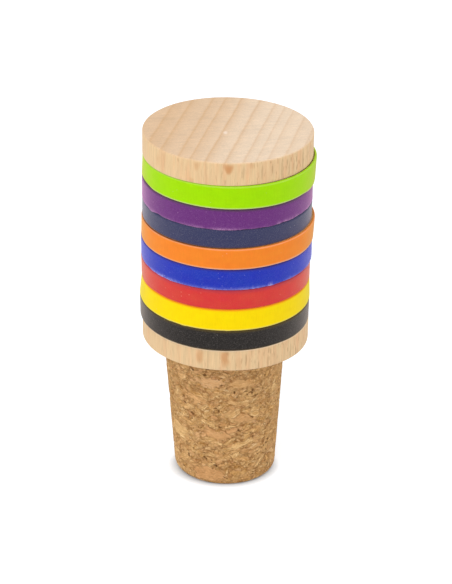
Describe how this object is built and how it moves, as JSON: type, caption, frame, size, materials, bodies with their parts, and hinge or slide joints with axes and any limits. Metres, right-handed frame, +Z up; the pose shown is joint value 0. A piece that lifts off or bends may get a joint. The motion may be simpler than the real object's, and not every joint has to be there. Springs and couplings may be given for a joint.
{
  "type": "wooden bottle stopper",
  "caption": "Turned wooden bottle stopper with a stack of flat coloured silicone bands in its groove and a tapered cork plug.",
  "frame": {"origin": "middle of the cork plug's flat foot, on which the stopper stands", "axes": "+Z up along the turned axis, from the cork plug to the wooden head"},
  "size_m": [0.0324, 0.0324, 0.0716],
  "materials": {
    "beech": "finely sanded, unvarnished, end grain on top",
    "cork": "agglomerated cork granules, matt, pitted",
    "lime_silicone": "satin",
    "purple_silicone": "satin",
    "navy_silicone": "satin",
    "orange_silicone": "satin",
    "blue_silicone": "satin",
    "red_silicone": "satin",
    "yellow_silicone": "satin",
    "black_silicone": "satin"
  },
  "bodies": {
    "root": {"wooden_head": "beech", "cork_plug": "cork", "lime_band": "lime_silicone", "purple_band": "purple_silicone", "navy_band": "navy_silicone", "orange_band": "orange_silicone", "blue_band": "blue_silicone", "red_band": "red_silicone", "yellow_band": "yellow_silicone", "black_band": "black_silicone"}
  },
  "joints": []
}
